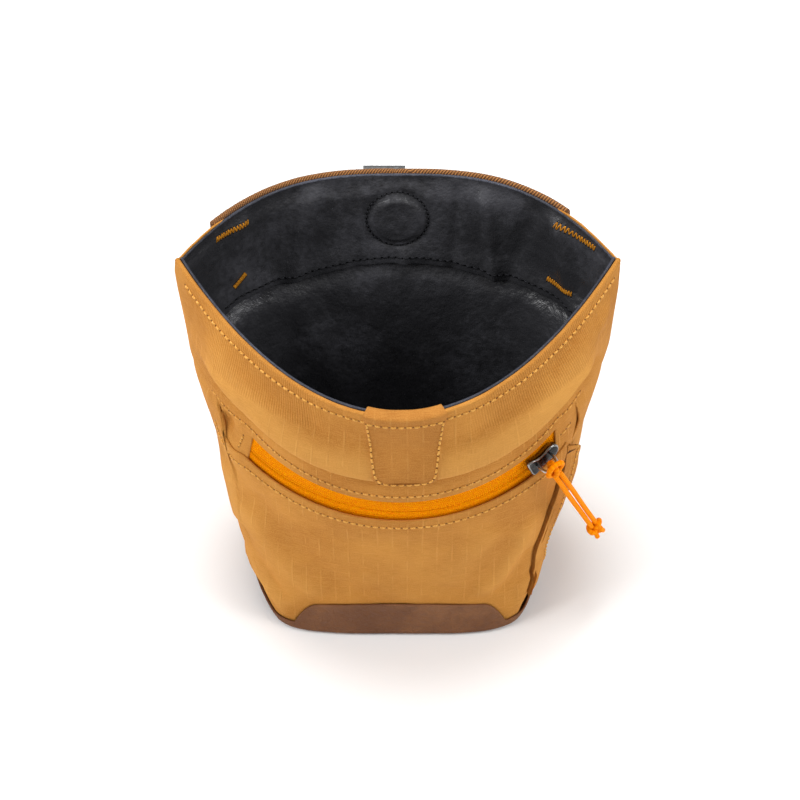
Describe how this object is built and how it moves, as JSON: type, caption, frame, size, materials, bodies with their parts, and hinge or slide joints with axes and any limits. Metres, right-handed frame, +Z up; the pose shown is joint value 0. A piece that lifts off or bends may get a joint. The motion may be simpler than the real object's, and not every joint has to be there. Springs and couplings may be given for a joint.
{
  "type": "treat pouch",
  "caption": "Open-topped cloth treat pouch with a coated boot, black lining, magnetic mouth, curved zip pocket with a cord puller, and a sprung belt clip.",
  "frame": {"origin": "centre of the base panel's underside", "axes": "+Z up to the mouth, -Y out of the front with the zip, +X to the right hand of someone facing the front"},
  "size_m": [0.16, 0.1263, 0.1565],
  "materials": {
    "tan_cloth": "woven ripstop canvas",
    "brown_coated": "coated",
    "brown_webbing": "woven",
    "black_lining": "satin",
    "board": "matte",
    "orange_zip": "woven",
    "orange_cord": "braided",
    "gunmetal": "satin",
    "steel": "satin"
  },
  "bodies": {
    "root": {"base_panel": "brown_coated", "base_board": "board", "base_lining": "black_lining", "boot_band": "brown_coated", "side_panel_left": "tan_cloth", "side_panel_right": "tan_cloth", "side_lining_left": "black_lining", "side_lining_right": "black_lining", "collar_left": "tan_cloth", "collar_right": "tan_cloth", "facing_left": "black_lining", "facing_right": "black_lining", "back_band_left": "brown_webbing", "back_band_right": "brown_webbing"},
    "front_wall": {"front_collar": "tan_cloth", "front_stay": "board", "front_facing": "black_lining", "front_panel": "tan_cloth", "front_lining": "black_lining", "pull_tab": "tan_cloth", "front_magnet": "steel", "front_magnet_cover": "black_lining"},
    "back_wall": {"back_panel": "tan_cloth", "back_lining": "black_lining", "back_stay": "board", "back_facing": "black_lining", "back_band": "brown_webbing", "back_magnet": "steel", "back_magnet_cover": "black_lining", "clip_plate": "gunmetal", "clip_rivet_upper": "steel", "clip_rivet_lower": "steel"},
    "pocket": {"pocket_panel": "tan_cloth", "pocket_back_left": "tan_cloth", "pocket_back_right": "tan_cloth", "front_lining_left": "black_lining", "front_lining_right": "black_lining", "zip_tape_lower": "orange_zip", "zip_tape_upper": "orange_zip", "zip_coil_lower": "orange_zip", "zip_coil_upper": "orange_zip", "zip_end_left": "tan_cloth", "zip_end_right": "tan_cloth", "zip_stop_left": "steel"},
    "clip_tongue": {"clip_tongue": "gunmetal"},
    "zip_slider": {"slider_body": "gunmetal", "slider_bail": "steel"},
    "pull_cord": {"cord_hitch": "orange_cord", "pull_cord_left": "orange_cord", "pull_cord_right": "orange_cord", "pull_knot": "orange_cord"}
  },
  "joints": [
    {"name": "mouth_front", "type": "hinge", "parent": "root", "child": "front_wall", "pos_m": [0, -0.0395, 0.016], "axis": [-1, 0, 0], "range_deg": [0, 19.5]},
    {"name": "mouth_back", "type": "hinge", "parent": "root", "child": "back_wall", "pos_m": [0, 0.0395, 0.016], "axis": [1, 0, 0], "range_deg": [0, 24.2]},
    {"name": "pocket_lean", "type": "hinge", "parent": "root", "child": "pocket", "pos_m": [0, -0.0395, 0.016], "axis": [-1, 0, 0], "range_deg": [0, 9.6]},
    {"name": "zip_travel", "type": "hinge", "parent": "pocket", "child": "zip_slider", "pos_m": [0, 0.0172, 0.1338], "axis": [0, 0.6032, -0.7976], "range_deg": [0, 81]},
    {"name": "puller_swing", "type": "hinge", "parent": "zip_slider", "child": "pull_cord", "pos_m": [0.0561, -0.035, 0.1001], "axis": [-0.7408, -0.5358, -0.4052], "range_deg": [0, 110]},
    {"name": "clip_spring", "type": "hinge", "parent": "back_wall", "child": "clip_tongue", "pos_m": [-0.006, 0.0731, 0.1452], "axis": [1, 0, 0], "range_deg": [0, 8], "stiffness_Nm_per_rad": 0.8, "springref_deg": -2.86}
  ],
  "couplings": [
    {"joint": "mouth_back", "follows": "mouth_front", "ratio": 1.24},
    {"joint": "pocket_lean", "follows": "mouth_front", "ratio": 0.49}
  ]
}
